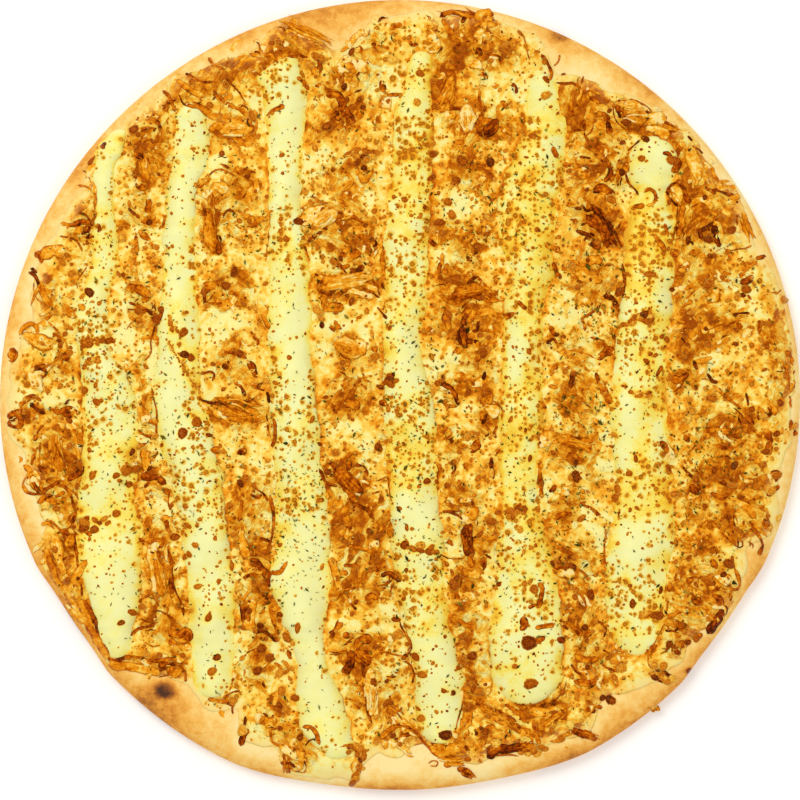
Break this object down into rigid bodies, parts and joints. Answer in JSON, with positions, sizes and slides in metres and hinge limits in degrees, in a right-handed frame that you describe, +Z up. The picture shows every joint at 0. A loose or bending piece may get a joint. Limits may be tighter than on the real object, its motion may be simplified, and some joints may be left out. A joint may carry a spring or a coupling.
{
  "type": "chicken cream cheese pizza",
  "caption": "Whole baked pizza with a pale raised rim, browned melted cheese, shredded chicken, piped lines of cream cheese and dried oregano.",
  "frame": {"origin": "middle of the flat underside, on the surface the pizza lies on", "axes": "+Z up through the pizza's thickness; +Y towards the top of the pizza in the picture; +X towards its right, across the piped lines"},
  "size_m": [0.35, 0.3456, 0.0189],
  "materials": {
    "dough": "baked dough, cream to golden with browned spots, matt and lightly floured",
    "melted_cheese": "melted mozzarella, cream to yellow with orange-brown blisters, softly glossy",
    "chicken": "shredded cooked chicken, golden orange with browned and burnt ends, moist",
    "cream_cheese": "baked cream cheese, pale yellow-white and smooth, with small browned dots",
    "oregano": "dried oregano flakes, dark olive to grey-green, dry"
  },
  "bodies": {
    "root": {"dough_base": "dough", "melted_cheese": "melted_cheese", "shredded_chicken": "chicken", "cream_line_1": "cream_cheese", "cream_line_2": "cream_cheese", "cream_line_3": "cream_cheese", "cream_line_4": "cream_cheese", "cream_line_5": "cream_cheese", "cream_line_6": "cream_cheese", "chicken_top_strip": "chicken", "chicken_top_arc": "chicken", "chicken_top_shred": "chicken", "chicken_upper_slant": "chicken", "chicken_meaty_chunk": "chicken", "chicken_upper_dark": "chicken", "chicken_upper_left_patch": "chicken", "chicken_left_upper_shred": "chicken", "chicken_rim_oval": "chicken", "chicken_rim_orange": "chicken", "chicken_right_golden": "chicken", "chicken_right_dark_shred": "chicken", "chicken_burnt_knot": "chicken", "chicken_upright_shred": "chicken", "chicken_smooth_piece": "chicken", "chicken_streaked_shred": "chicken", "chicken_orange_patch": "chicken", "chicken_middle_knot": "chicken", "chicken_hooked_shred": "chicken", "chicken_right_strip": "chicken", "chicken_right_bar": "chicken", "chicken_left_lobed": "chicken", "chicken_left_upright": "chicken", "chicken_left_blister": "chicken", "chicken_left_rim_piece": "chicken", "chicken_bent_shred": "chicken", "chicken_reddish_piece": "chicken", "chicken_low_strip": "chicken", "chicken_dark_upright": "chicken", "chicken_right_middle_shred": "chicken", "chicken_right_thin_strand": "chicken", "chicken_star_piece": "chicken", "chicken_tan_shred": "chicken", "chicken_low_knot": "chicken", "chicken_near_oval": "chicken", "chicken_burnt_finger": "chicken", "chicken_small_finger": "chicken", "chicken_arm_near": "chicken", "chicken_arm_far": "chicken", "chicken_low_bar": "chicken", "chicken_near_strand": "chicken"}
  },
  "joints": []
}
